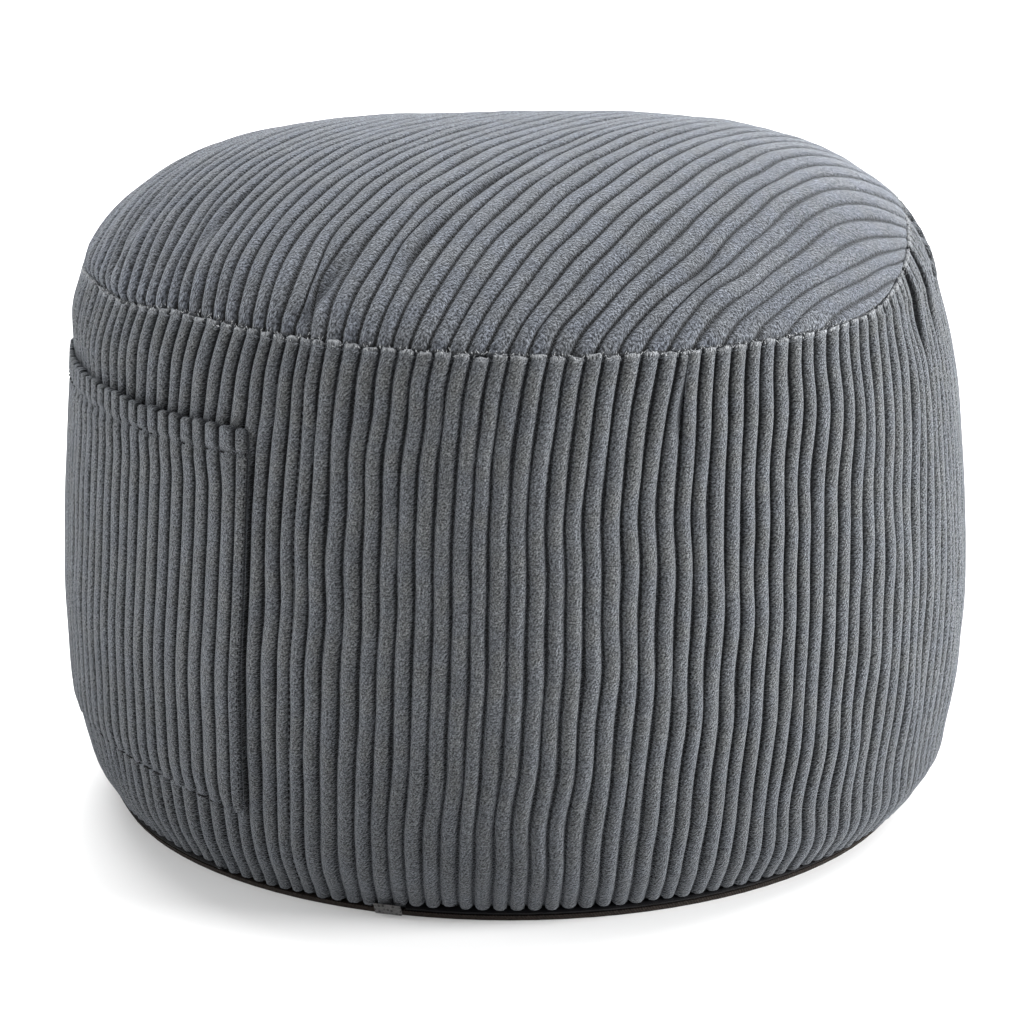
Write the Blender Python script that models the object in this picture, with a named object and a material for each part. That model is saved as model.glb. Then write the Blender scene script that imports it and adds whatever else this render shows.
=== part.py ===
"""Pouf ottoman in wide-wale corduroy: a filled drum with a domed top, a side pocket and a zip round its foot.

Metres, +Z up, standing on z = 0 with its front towards -Y. Angles are measured round the body's axis from
the front, positive towards +X. Each sub-part is one closed object, in the axis's own frame. Where two pieces
meet they stay a few tenths of a millimetre apart.
"""
from math import cos, pi, radians, sin, sqrt

import bmesh
import bpy
import numpy as np
from mathutils import Vector

# Body
SEAM_HEIGHT = 0.2887
SEAM_RADIUS = 0.2215
SEAM_TILT = 0.0045          # how much higher the seam sits on the left and lower on the right
SEAM_DRAW = 0.0025          # how far the seam is pulled in between the two panels
CROWN_RISE = 0.0682
AXIS_SHIFT = 0.0019         # the body's axis, moved so that body and pocket together are centred
FOOT_SHIFT = 0.0035         # how far the foot sits to the left of the body's axis
FOOT_SHIFT_REACH = 0.12     # up to this height
SEAM_SHIFT = 0.0014         # and the seam too, from the shoulder up
SHOULDER_HEIGHT = 0.17
PIECE_GAP = 0.0004

# The side's outline over the rib tops: height, radius
SIDE_OUTLINE = (
    (0.0033, 0.2142),
    (0.0085, 0.2172),
    (0.0220, 0.2258),
    (0.0480, 0.2337),
    (0.1000, 0.2389),
    (0.1700, 0.2373),
    (0.2350, 0.2312),
    (0.2700, 0.2262),
    (0.2840, 0.2228),
    (0.2887, 0.2215),
)

# Corduroy wales
SIDE_WALES = 164
SIDE_JOIN_ANGLE = radians(-27.3)
JOIN_WALE_SHARE = 0.85      # the two wales beside the join seam, as a share of a whole one
TOP_WALE_PITCH = 0.00847
TOP_WALE_OFFSET = 0.0014    # from the axis to the nearest groove
TOP_WALE_ANGLE = radians(31.1)
WALE_DEPTH = 0.0018
SHOULDER_SHARE = 0.20       # the groove's slope, as a share of the pitch on each side

# The top's dome: how it falls towards the seam, and how it differs from a spun dome
CROWN_POWER = 2.09
CROWN_EDGE_POWER = 0.89
CROWN_BACK_EDGE = 0.32      # how much less that last power is at the back
CROWN_SIDES = 0.80          # fuller towards left and right
CROWN_ENDS = 0.13           # and a little towards front and back
CROWN_FRONT = 0.14          # fuller in front than behind
CROWN_RIGHT = 0.14          # fuller on the right than on the left
RIM_RISE = 0.0015
RIM_POWER = 8               # how sharply the rim's own rise and the dents' fading keep to the seam
TOP_STEPS = 10              # faces along each wale of the top
TOP_MARGIN = 0.0015         # no wale edge comes nearer to the seam's left and right ends
SLOPE_STEP = 0.002          # over which the dome's slope is read
SLOPE_LIMIT = 0.97          # as a share of the seam's radius: beyond it the slope stays the same
# Soft dents of the top: x, y, reach along the wales, reach across, depth
TOP_DENTS = (
    (-0.085, -0.165, 0.050, 0.016, 0.0045),
    (0.128, -0.135, 0.040, 0.014, 0.0030),
)

# Foot, base cloth and zip
BASE_THICKNESS = 0.0030
BASE_RADIUS = 0.2125
BASE_EDGE_RADIUS = 0.2142
BASE_SEGMENTS = 96
FOOT_HEIGHT = 0.0034        # underside of the filled side
ZIP_START = radians(-14.4)
ZIP_END = radians(317.5)
ZIP_RECESS_MARGIN = radians(2.3)  # the recess runs a wale past each end of the zip
ZIP_RECESS_RADIUS = 0.2085
ZIP_RECESS_TOP = 0.0073
SEWN_RADIUS = 0.2118        # where the side is sewn straight to the base cloth
SEWN_TOP = 0.0040
SEWN_WALE_END = 0.0050
ZIP_INNER_RADIUS = 0.2093
ZIP_COIL_RADIUS = 0.0015
ZIP_BOTTOM = 0.0037
ZIP_TOP = 0.0067
ZIP_OUTER_RADIUS = 0.2142
ZIP_STEPS = 84
ZIP_END_GAP = radians(0.4)

# Zip tab
TAB_ANGLE = radians(-16.2)
TAB_WIDTH = 0.0140
TAB_HEIGHT = 0.0070
TAB_THICKNESS = 0.0012
TAB_EDGE = 0.0004
TAB_CENTRE_RADIUS = 0.2180
TAB_CENTRE_HEIGHT = 0.0045
TAB_LEAN = radians(28.0)

# Pocket
POCKET_FRONT_ANGLE = radians(-33.6)
POCKET_BACK_ANGLE = radians(-126.0)
POCKET_WALES = 44
POCKET_TOP = 0.2455
POCKET_BOTTOM = 0.0583
POCKET_CORNER_DROP = 0.0093  # its lower edge hangs lower near the front corner
POCKET_CORNER_POWER = 8
POCKET_CLOTH = 0.0019
POCKET_WALE_DEPTH = 0.0015
HEM_HEIGHT = 0.0125
HEM_EXTRA = 0.0011
HEM_STEP = 0.0012           # the hem's lower edge, from the cloth's thickness to the fold's
MOUTH_PARTED = 0.0014
PARTED_FROM = 0.125         # the pocket lies close to the side below this height

# Roughness
CORDUROY_ROUGHNESS = 0.95
BASE_ROUGHNESS = 0.85
ZIP_ROUGHNESS = 0.6
TAB_ROUGHNESS = 0.9

# Colours, linear: red, green, blue
TOP_GREY = (0.125, 0.132, 0.145)
SIDE_GREY = (0.088, 0.093, 0.096)
POCKET_GREY = (0.094, 0.099, 0.102)
BASE_BROWN = (0.030, 0.025, 0.022)
ZIP_BLACK = (0.008, 0.009, 0.014)
TAB_GREY = (0.080, 0.080, 0.080)


def clear_scene():
    for item in list(bpy.data.objects):
        bpy.data.objects.remove(item, do_unlink=True)


def cloth(name, colour, roughness):
    material = bpy.data.materials.new(name)
    material.use_nodes = True
    shader = material.node_tree.nodes["Principled BSDF"]
    shader.inputs["Base Color"].default_value = (*colour, 1.0)
    shader.inputs["Roughness"].default_value = roughness
    shader.inputs["Metallic"].default_value = 0.0
    return material


def make_object(name, bm, material, parent):
    """Turn a bmesh into an object under the body's empty."""
    bmesh.ops.recalc_face_normals(bm, faces=bm.faces)
    mesh = bpy.data.meshes.new(name)
    bm.to_mesh(mesh)
    bm.free()
    mesh.materials.append(material)
    item = bpy.data.objects.new(name, mesh)
    bpy.context.collection.objects.link(item)
    item.parent = parent
    return item


def side_radius(height):
    heights, radii = zip(*SIDE_OUTLINE)
    return float(np.interp(height, heights, radii))


def wall_point(angle, height, out=0.0):
    """A point on the side's outline, moved outwards by out."""
    return ring_point(angle, side_radius(height) + out, height)


def ring_point(angle, radius, height):
    """A point so far from the body's axis, with the body's slight tilt and lean."""
    tilt = SEAM_TILT * sin(angle) * (height / SEAM_HEIGHT) ** 2
    foot_shift = FOOT_SHIFT * max(0.0, 1.0 - height / FOOT_SHIFT_REACH) ** 2
    seam_shift = SEAM_SHIFT * (max(0.0, height - SHOULDER_HEIGHT) / (SEAM_HEIGHT - SHOULDER_HEIGHT)) ** 2
    return Vector((radius * sin(angle) - foot_shift - seam_shift, -radius * cos(angle), height - tilt))


def wale_columns(edges):
    """Places across the wales between the given grooves, each with 0 in a groove or 1 on a wale."""
    columns = []
    for start, end in zip(edges, edges[1:]):
        slope = SHOULDER_SHARE * (end - start)
        columns += [(start, 0), (start + slope, 1), (end - slope, 1)]
    return columns


def side_grooves():
    """Angles of the side's grooves, once round from the join seam, where the two last wales are narrower."""
    shares = [JOIN_WALE_SHARE] + [1.0] * (SIDE_WALES - 2) + [JOIN_WALE_SHARE]
    shares = np.array(shares) / sum(shares)
    return SIDE_JOIN_ANGLE + 2 * pi * np.concatenate([[0.0], np.cumsum(shares)])


def beside_zip(angle):
    start = ZIP_START - ZIP_RECESS_MARGIN
    return (angle - start) % (2 * pi) < ZIP_END + ZIP_RECESS_MARGIN - start


def add_ring(bm, points):
    return [bm.verts.new(point) for point in points]


def bridge_rings(bm, lower, upper):
    """Quads between two closed rings of as many points."""
    for i in range(len(lower)):
        j = (i + 1) % len(lower)
        bm.faces.new((lower[i], lower[j], upper[j], upper[i]))


def gather_ring(bm, plain, ribbed):
    """Faces from a ring with one point per wale to a ring with three."""
    count = len(plain)
    for i in range(count):
        j = (i + 1) % count
        wale = [ribbed[(3 * i + k) % len(ribbed)] for k in range(4)]
        bm.faces.new([plain[i], *wale, plain[j]])


def build_side_panel(parent):
    grooves = side_grooves()
    columns = wale_columns(grooves)
    starts = grooves[:-1]
    bm = bmesh.new()

    underside = []
    recess_top = []
    for angle in starts:
        zipped = beside_zip(angle)
        radius = ZIP_RECESS_RADIUS if zipped else SEWN_RADIUS
        top = ZIP_RECESS_TOP if zipped else SEWN_TOP
        underside.append(ring_point(angle, radius, FOOT_HEIGHT))
        recess_top.append(ring_point(angle, radius, top))
    underside = add_ring(bm, underside)
    recess_top = add_ring(bm, recess_top)

    heights = [height for height, radius in SIDE_OUTLINE[1:-1]]
    rows = []
    for height in heights:
        points = []
        for angle, raised in columns:
            sewn_end = height == heights[0] and not beside_zip(angle)
            level = SEWN_WALE_END if sewn_end else height
            points.append(wall_point(angle, level, (raised - 1) * WALE_DEPTH))
        rows.append(add_ring(bm, points))
    crease = [ring_point(angle, SEAM_RADIUS - SEAM_DRAW, SEAM_HEIGHT - PIECE_GAP / 2) for angle in starts]
    crease = add_ring(bm, crease)

    bm.faces.new(underside)
    bridge_rings(bm, underside, recess_top)
    gather_ring(bm, recess_top, rows[0])
    for lower, upper in zip(rows, rows[1:]):
        bridge_rings(bm, lower, upper)
    gather_ring(bm, crease, rows[-1])
    bm.faces.new(crease)
    make_object("side_panel", bm, cloth("side corduroy", SIDE_GREY, CORDUROY_ROUGHNESS), parent)


def crown_height(x, y):
    """Height of the top's surface over the ground."""
    side, back = x / SEAM_RADIUS, y / SEAM_RADIUS
    share = min(sqrt(side ** 2 + back ** 2), 1.0)
    fullness = 1.0 + CROWN_SIDES * side ** 2 + CROWN_ENDS * back ** 2
    fullness += CROWN_RIGHT * side - CROWN_FRONT * back
    edge_power = CROWN_EDGE_POWER * (1.0 - CROWN_BACK_EDGE * max(back, 0.0) ** 2)
    dome = CROWN_RISE * fullness * (1.0 - share ** CROWN_POWER) ** edge_power
    for dent_x, dent_y, reach_along, reach_across, depth in TOP_DENTS:
        along, across = along_wale(x - dent_x, y - dent_y)
        fall = np.exp(-((along / reach_along) ** 2) - (across / reach_across) ** 2)
        dome -= depth * fall * (1.0 - share ** RIM_POWER)
    return SEAM_HEIGHT + RIM_RISE * share ** RIM_POWER - SEAM_TILT * x / SEAM_RADIUS + dome


def along_wale(x, y):
    """Split a plan position into its parts along and across the top's wales."""
    along = x * sin(TOP_WALE_ANGLE) + y * cos(TOP_WALE_ANGLE)
    across = x * cos(TOP_WALE_ANGLE) - y * sin(TOP_WALE_ANGLE)
    return along, across


def crown_point(along, across, sink):
    """A point of the top, sunk by so much below its surface, square to it."""
    x = along * sin(TOP_WALE_ANGLE) + across * cos(TOP_WALE_ANGLE)
    y = along * cos(TOP_WALE_ANGLE) - across * sin(TOP_WALE_ANGLE)
    limit = SLOPE_LIMIT * SEAM_RADIUS
    inward = limit / max(sqrt(x * x + y * y), limit)
    near_x, near_y = x * inward, y * inward
    slope_x = crown_height(near_x + SLOPE_STEP, near_y) - crown_height(near_x - SLOPE_STEP, near_y)
    slope_y = crown_height(near_x, near_y + SLOPE_STEP) - crown_height(near_x, near_y - SLOPE_STEP)
    normal = Vector((-slope_x, -slope_y, 2 * SLOPE_STEP)).normalized()
    return Vector((x - SEAM_SHIFT, y, crown_height(x, y))) - sink * normal


def top_lines():
    """Offsets across the top of its grooves and wale shoulders, within the seam."""
    reach = int(SEAM_RADIUS / TOP_WALE_PITCH) + 2
    grooves = TOP_WALE_OFFSET + TOP_WALE_PITCH * np.arange(-reach, reach + 1)
    widest = SEAM_RADIUS - TOP_MARGIN
    return [(across, raised) for across, raised in wale_columns(grooves) if abs(across) < widest]


def build_top_panel(parent):
    bm = bmesh.new()
    lines = []
    for across, raised in top_lines():
        half = sqrt(SEAM_RADIUS ** 2 - across ** 2)
        sink = (1 - raised) * WALE_DEPTH
        shares = [sin(pi * (step / TOP_STEPS - 0.5)) for step in range(TOP_STEPS + 1)]
        lines.append(add_ring(bm, [crown_point(half * share, across, sink) for share in shares]))
    for line, neighbour in zip(lines, lines[1:]):
        for i in range(TOP_STEPS):
            bm.faces.new((line[i], line[i + 1], neighbour[i + 1], neighbour[i]))
    far_ends = [line[-1] for line in lines]
    near_ends = [line[0] for line in lines]
    rim = lines[0] + far_ends[1:-1] + lines[-1][::-1] + near_ends[-2:0:-1]
    under = []
    for vert in rim:
        angle = np.arctan2(vert.co.x + SEAM_SHIFT, -vert.co.y)
        under.append(ring_point(angle, SEAM_RADIUS - SEAM_DRAW, SEAM_HEIGHT + PIECE_GAP / 2))
    under = add_ring(bm, under)
    bridge_rings(bm, rim, under)
    bm.faces.new(under)
    make_object("top_panel", bm, cloth("top corduroy", TOP_GREY, CORDUROY_ROUGHNESS), parent)


def pocket_bottom(angle):
    share = (angle - POCKET_BACK_ANGLE) / (POCKET_FRONT_ANGLE - POCKET_BACK_ANGLE)
    return POCKET_BOTTOM - POCKET_CORNER_DROP * share ** POCKET_CORNER_POWER


def mouth_parting(angle, height):
    """How far the pocket stands off the side, most at the middle of its mouth."""
    across = sin(pi * (angle - POCKET_FRONT_ANGLE) / (POCKET_BACK_ANGLE - POCKET_FRONT_ANGLE))
    rise = max(0.0, height - PARTED_FROM) / (POCKET_TOP - PARTED_FROM)
    return MOUTH_PARTED * across * rise ** 2


def build_pocket(parent):
    """A curved sheet of ribbed rows outside and plainer rows inside, where None stands for its lower edge."""
    grooves = np.linspace(POCKET_BACK_ANGLE, POCKET_FRONT_ANGLE, POCKET_WALES + 1)
    columns = wale_columns(grooves) + [(grooves[-1], 0)]
    hem_line = POCKET_TOP - HEM_HEIGHT
    wall_rows = [height for height, radius in SIDE_OUTLINE if POCKET_BOTTOM < height < POCKET_TOP]
    below_hem = [height for height in wall_rows if height < hem_line]
    bm = bmesh.new()

    outer = []
    for height in [None, *below_hem, hem_line, hem_line + HEM_STEP, POCKET_TOP]:
        extra = HEM_EXTRA if height is not None and height > hem_line else 0.0
        points = []
        for angle, raised in columns:
            level = pocket_bottom(angle) if height is None else height
            out = PIECE_GAP + POCKET_CLOTH + extra + raised * POCKET_WALE_DEPTH + mouth_parting(angle, level)
            points.append(wall_point(angle, level, out))
        outer.append(add_ring(bm, points))
    inner = []
    for height in [None, *wall_rows, POCKET_TOP]:
        points = []
        for angle in grooves:
            level = pocket_bottom(angle) if height is None else height
            points.append(wall_point(angle, level, PIECE_GAP + mouth_parting(angle, level)))
        inner.append(add_ring(bm, points))

    for rows in (outer, inner):
        for lower, upper in zip(rows, rows[1:]):
            for i in range(len(lower) - 1):
                bm.faces.new((lower[i], lower[i + 1], upper[i + 1], upper[i]))
    for plain, ribbed in ((inner[0], outer[0]), (inner[-1], outer[-1])):
        for i in range(POCKET_WALES):
            bm.faces.new([plain[i], *ribbed[3 * i:3 * i + 4], plain[i + 1]])
    for end in (0, -1):
        bm.faces.new([row[end] for row in outer] + [row[end] for row in inner[::-1]])
    make_object("pocket", bm, cloth("pocket corduroy", POCKET_GREY, CORDUROY_ROUGHNESS), parent)


def build_base_panel(parent):
    bm = bmesh.new()
    bmesh.ops.create_circle(bm, cap_ends=True, segments=BASE_SEGMENTS, radius=BASE_RADIUS)
    lifted = bmesh.ops.extrude_face_region(bm, geom=bm.faces[:])
    top = [part for part in lifted["geom"] if isinstance(part, bmesh.types.BMVert)]
    widen = BASE_EDGE_RADIUS / BASE_RADIUS
    bmesh.ops.scale(bm, vec=(widen, widen, 1.0), verts=top)
    bmesh.ops.translate(bm, vec=(0.0, 0.0, BASE_THICKNESS), verts=top)
    bmesh.ops.translate(bm, vec=(-FOOT_SHIFT, 0.0, 0.0), verts=bm.verts)
    make_object("base_panel", bm, cloth("base cloth", BASE_BROWN, BASE_ROUGHNESS), parent)


def zip_section():
    """The tape and coil, cut square: radius and height of each corner."""
    middle = (ZIP_BOTTOM + ZIP_TOP) / 2
    bulge = ZIP_OUTER_RADIUS + ZIP_COIL_RADIUS
    return [
        (ZIP_INNER_RADIUS, ZIP_BOTTOM),
        (ZIP_OUTER_RADIUS, ZIP_BOTTOM),
        (bulge, middle),
        (ZIP_OUTER_RADIUS, ZIP_TOP),
        (ZIP_INNER_RADIUS, ZIP_TOP),
    ]


def build_zip(parent):
    section = zip_section()
    bm = bmesh.new()
    rings = []
    for angle in np.linspace(ZIP_START + ZIP_END_GAP, ZIP_END - ZIP_END_GAP, ZIP_STEPS + 1):
        rings.append(add_ring(bm, [ring_point(angle, radius, height) for radius, height in section]))
    for ring, following in zip(rings, rings[1:]):
        bridge_rings(bm, ring, following)
    bm.faces.new(rings[0])
    bm.faces.new(rings[-1])
    make_object("zip", bm, cloth("zip tape", ZIP_BLACK, ZIP_ROUGHNESS), parent)


def build_zip_tab(parent):
    bm = bmesh.new()
    bmesh.ops.create_cube(bm, size=1.0)
    bmesh.ops.scale(bm, vec=(TAB_WIDTH, TAB_THICKNESS, TAB_HEIGHT), verts=bm.verts)
    bmesh.ops.bevel(bm, geom=bm.edges[:], offset=TAB_EDGE, segments=1, affect="EDGES")
    tab = make_object("zip_tab", bm, cloth("tab cloth", TAB_GREY, TAB_ROUGHNESS), parent)
    tab.location = ring_point(TAB_ANGLE, TAB_CENTRE_RADIUS, TAB_CENTRE_HEIGHT)
    tab.rotation_euler = (TAB_LEAN, 0.0, TAB_ANGLE)


def main():
    clear_scene()
    body = bpy.data.objects.new("pouf", None)
    bpy.context.collection.objects.link(body)
    body.location = (AXIS_SHIFT, 0.0, 0.0)
    build_side_panel(body)
    build_top_panel(body)
    build_pocket(body)
    build_base_panel(body)
    build_zip(body)
    build_zip_tab(body)


main()
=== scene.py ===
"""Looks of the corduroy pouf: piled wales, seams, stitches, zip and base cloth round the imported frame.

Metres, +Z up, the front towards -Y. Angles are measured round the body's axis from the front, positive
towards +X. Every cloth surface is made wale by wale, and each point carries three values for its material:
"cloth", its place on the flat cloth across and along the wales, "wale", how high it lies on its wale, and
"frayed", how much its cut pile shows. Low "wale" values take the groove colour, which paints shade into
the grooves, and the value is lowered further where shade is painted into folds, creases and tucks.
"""
from math import cos, pi, radians, sin, tau

import bpy
import numpy as np
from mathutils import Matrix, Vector
from numpy.random import default_rng

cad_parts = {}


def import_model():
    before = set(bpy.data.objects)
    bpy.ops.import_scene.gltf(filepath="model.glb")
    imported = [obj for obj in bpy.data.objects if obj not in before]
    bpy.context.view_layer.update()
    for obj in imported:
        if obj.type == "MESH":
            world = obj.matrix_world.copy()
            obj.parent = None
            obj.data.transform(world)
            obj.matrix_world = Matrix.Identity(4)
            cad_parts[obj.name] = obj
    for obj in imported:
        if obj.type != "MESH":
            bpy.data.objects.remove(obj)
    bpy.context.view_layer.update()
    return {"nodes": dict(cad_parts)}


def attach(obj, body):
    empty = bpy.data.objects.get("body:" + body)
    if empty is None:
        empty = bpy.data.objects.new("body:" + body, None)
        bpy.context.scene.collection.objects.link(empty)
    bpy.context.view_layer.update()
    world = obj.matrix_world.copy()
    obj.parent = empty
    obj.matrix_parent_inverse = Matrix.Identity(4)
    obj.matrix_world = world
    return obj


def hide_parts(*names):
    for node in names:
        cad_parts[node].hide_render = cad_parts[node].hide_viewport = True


# Body, as in the frame
SEAM_HEIGHT = 0.2887
SEAM_RADIUS = 0.2215
SEAM_TILT = 0.0045
CROWN_RISE = 0.0682
AXIS_SHIFT = 0.0019
FOOT_SHIFT = 0.0035
FOOT_SHIFT_REACH = 0.12
SEAM_SHIFT = 0.0014
SHOULDER_HEIGHT = 0.17
# The side's outline over the wales: height, radius
SIDE_OUTLINE = (
    (0.0000, 0.2124),
    (0.0085, 0.2172),
    (0.0220, 0.2258),
    (0.0480, 0.2337),
    (0.1000, 0.2389),
    (0.1700, 0.2373),
    (0.2350, 0.2312),
    (0.2700, 0.2262),
    (0.2840, 0.2228),
    (0.2887, 0.2215),
)
# Radii that turn angles into lengths
BODY_RADIUS = 0.235
SIDE_FLAT_RADIUS = 0.238
POCKET_FLAT_RADIUS = 0.24
FOOT_RADIUS = 0.214

# Camera and picture
PICTURE_SIZE = 1024
CAMERA_DISTANCE = 2.0
CAMERA_HEIGHT = 0.7629
CAMERA_PITCH = radians(17.149)
FOCAL_PIXELS = 3909.6
AXIS_PIXEL = 513.5
SENSOR_WIDTH = 36.0

# Side wales
SIDE_WALES = 164
JOIN_ANGLE = radians(-27.3)
JOIN_WALE_SHARE = 0.85
SIDE_WALE_DEPTH = 0.0033
SIDE_PITCH = tau / SIDE_WALES
# How far the side's cloth is turned round the body, in degrees, at each height and each of these angles
TWIST_ANGLES = (-90, -62, -42, -27, 0, 25, 42, 57, 90)
SIDE_TWIST = (
    (0.0000, -2.0, -2.4, -2.0, -2.0, -1.5, -0.4, 0.8, 1.6, 1.4),
    (0.0300, -1.5, -1.6, -1.3, -1.5, -1.5, -1.2, -0.5, -0.2, -0.4),
    (0.0550, -1.0, -1.1, -1.1, -1.2, -1.5, -1.4, -1.6, -1.5, -1.3),
    (0.0850, -0.7, -0.8, -0.95, -0.8, -0.9, -1.05, -1.2, -1.4, -1.0),
    (0.1200, -0.4, -0.6, -0.95, -0.55, -0.4, -0.55, -0.8, -1.0, -0.7),
    (0.1500, -0.1, -0.1, -0.4, -0.2, -0.05, -0.25, -0.2, -0.15, -0.2),
    (0.1900, -0.2, 0.0, 0.0, -0.1, 0.05, 0.2, 0.25, 0.3, 0.2),
    (0.2140, -0.3, 0.1, 0.2, 0.0, 0.1, 0.35, 0.6, 1.0, 0.7),
    (0.2400, -0.3, 0.4, 0.7, 0.4, 0.65, 1.2, 2.1, 2.2, 1.4),
    (0.2620, -0.3, 0.8, 2.0, 1.2, 1.9, 2.4, 3.4, 3.2, 2.0),
    (0.2887, 0.0, 1.4, 2.9, 1.5, 3.2, 3.6, 4.8, 4.4, 2.5),
)
SIDE_ROWS = 58
FOOT_HEIGHT = 0.0034
ZIP_START = radians(-14.4)
ZIP_END = radians(317.5)
ZIPPED_WALE_END = 0.0072
SEWN_WALE_END = 0.0042
WALE_END_ROUND = 0.0031     # how much higher a groove starts than the middle of its wale
WALE_END_SPREAD = 0.0004
SIDE_WALE_SPREAD = 0.05
# How much the side's wales vary in fullness, wander and narrow, and how far the filling sags
SIDE_PLUMPNESS = 0.12
SIDE_WANDER = radians(0.17)
SIDE_NARROWING = radians(0.08)
SIDE_SAG = 0.0009
# Rows that tuck the side in at its foot and its seam: how far in, how far down or up; and the share of the
# wale's height that each row shows, from the lowest up, which paints shade on the tucked rows
FOOT_TUCK = ((0.0010, 0.0007), (0.0026, 0.0010), (0.0046, 0.0004))
FOOT_LIT = (0.0, 0.0, 0.35, 0.85)
SEAM_TUCK = ((0.0007, 0.0002), (0.0017, -0.0008), (0.0120, -0.0060))
SEAM_LIT = (1.0, 0.6, 0.0)
# A pleat in the side below the seam, which swallows part of the wales to its left
PLEAT_ANGLE = radians(19.0)
PLEAT_REACH = radians(8.0)
PLEAT_LOW = 0.240
PLEAT_SHARE = 0.75
PLEAT_TUCK = 0.0042
# A fold at the seam's right end: angle and distance in from the rim at its top, angle and height at its
# low end, depth, width
FOLD_TOP = radians(92.5)
FOLD_INSET = 0.0165
FOLD_LOW = radians(79.5)
FOLD_LOW_HEIGHT = 0.2760
FOLD_DEPTH = 0.0030
FOLD_WIDTH = 0.0042
FOLD_OVERLAP = 0.0014       # how far the cloth past a fold stands out over it
FOLD_REACH = 0.011
# How much painted shade darkens the fold line and the cloth tucked under the pleat
FOLD_SHADE = 0.9
# Two grooves at the seam's right end are folded deep: angle on the cloth, low end, depth
DEEP_GROOVES = (
    (radians(64.6), 0.2540, 0.0034),
    (radians(70.8), 0.2620, 0.0022),
)
# The foot is fuller at the right, and the shoulder at the left: how much, at what height, over what reach
FOOT_FULLNESS = 0.0030
FOOT_FULLEST = 0.020
FOOT_REACH = 0.020
SHOULDER_FULLNESS = 0.0014
SHOULDER_FULLEST = 0.256
SHOULDER_REACH = 0.014
# The side is drawn in along the pocket's front edge, and its two ends are pressed flat where they join
POCKET_EDGE_PULL = 0.0014
POCKET_EDGE_REACH = 0.0014
EDGE_ASIDE = 0.0005
JOIN_REACH = 0.0013
JOIN_RISE = 0.32
# The seam climbs onto the shoulder at the right: angle in degrees, distance in from the rim
SEAM_INSET = (
    (45.0, 0.0), (51.6, 0.0006), (58.6, 0.0025), (65.6, 0.0062),
    (71.4, 0.0098), (78.1, 0.0136), (87.0, 0.0169), (98.0, 0.0175),
    (120.0, 0.0110), (142.0, 0.0030), (155.0, 0.0),
)
# and slips down the side at the left: angle in degrees, drop
SEAM_DROP = (
    (-140.0, 0.0), (-115.0, 0.0060), (-95.0, 0.0105), (-86.0, 0.0100),
    (-80.0, 0.0075), (-73.0, 0.0052), (-66.0, 0.0046), (-61.0, 0.0048),
    (-56.0, 0.0028), (-49.0, 0.0004), (-44.0, 0.0),
)
INSET_ROWS = 8
CREST_RISE = 0.0006         # the side's cut edge stands this much over the rim
CREST_INSET = 0.0008        # and lies this far in from the seam
# The shoulder leans a little to the left: how far, at what height, over what reach
SHOULDER_LEAN = 0.0026
LEAN_HEIGHT = 0.272
LEAN_REACH = 0.022

# Top wales
TOP_WALE_PITCH = 0.00847
TOP_WALE_OFFSET = 0.0014
TOP_WALE_ANGLE = radians(31.1)
TOP_WALE_DEPTH = 0.0022
TOP_ROWS = 112
TOP_EDGE_INSET = 0.0012
TOP_EDGE_DIVE = 0.0012
TOP_EDGE_ROUND = 0.0018
TOP_PITCH_SPREAD = 0.00025
# The same unevenness of the top
TOP_PLUMPNESS = 0.14
TOP_WANDER = 0.0008
TOP_NARROWING = 0.00045
TOP_SAG = 0.0008
# Rows that tuck the top's edge into the seam: how far in, how far down
TOP_TUCK = ((0.0010, 0.0014), (0.0040, 0.0040))
RIM_POINTS = 3600
RIM_MARGIN = 0.00002
SLOPE_STEP = 0.002
SLOPE_LIMIT = 0.97          # the dome's slope stays the same beyond this share of the seam's radius
PAST_RIM_FALL = 0.97        # how far the cloth falls for each length past the rim
CROWN_POWER = 2.09
CROWN_EDGE_POWER = 0.89
CROWN_BACK_EDGE = 0.32
CROWN_SIDES = 0.80
CROWN_ENDS = 0.13
CROWN_FRONT = 0.14
CROWN_RIGHT = 0.14
RIM_RISE = 0.0015
RIM_POWER = 8
# Extra fullness just inside the rim: angle in degrees, height; and how far in it is fullest
RIM_BULGE = (
    (-155.0, 0.0), (-130.0, 0.0024), (-100.0, 0.0012), (-70.0, 0.0018),
    (-45.0, 0.0046), (-18.0, 0.0026), (10.0, 0.0), (52.0, 0.0),
    (72.0, 0.0026), (95.0, 0.0038), (125.0, 0.0006), (150.0, 0.0),
)
BULGE_REACH = 0.017
# Soft dents of the top: x, y, reach along the wales, reach across, depth
TOP_DENTS = (
    (-0.088, -0.172, 0.036, 0.012, 0.0030),
    (0.128, -0.135, 0.040, 0.014, 0.0030),
    (0.075, 0.070, 0.075, 0.055, 0.0012),
)
# Places where grooves of the top run together: x, y, reach along, reach across, pull
TOP_PINCHES = (
    (-0.091, -0.176, 0.022, 0.0085, 1.00),
    (-0.047, -0.160, 0.022, 0.0080, 0.60),
    (-0.150, -0.110, 0.026, 0.0080, 0.60),
    (-0.190, -0.060, 0.030, 0.0080, 0.55),
    (-0.015, -0.110, 0.026, 0.0080, 0.50),
    (0.020, -0.060, 0.030, 0.0090, 0.45),
    (0.090, -0.165, 0.022, 0.0090, 0.50),
)
PINCH_DEPTH = 0.0044
PINCH_WIDTH = 0.40          # its groove's share of the reach across
# Wales of the top bow sideways near their front ends: how far at the left and the right, over what reach
BOW_LEFT = -0.0135
BOW_RIGHT = 0.0060
BOW_REACH = 0.090
BOW_EDGE = -0.0024
BOW_EDGE_REACH = 0.022
# At the right their back ends turn towards the seam: how far aside they end, and over what reach
END_TURN = 0.0160
END_TURN_REACH = 0.045

# Pocket
POCKET_FRONT = radians(-33.6)
POCKET_BACK = radians(-126.0)
POCKET_WALES = 44
POCKET_TOP = 0.2455
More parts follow.
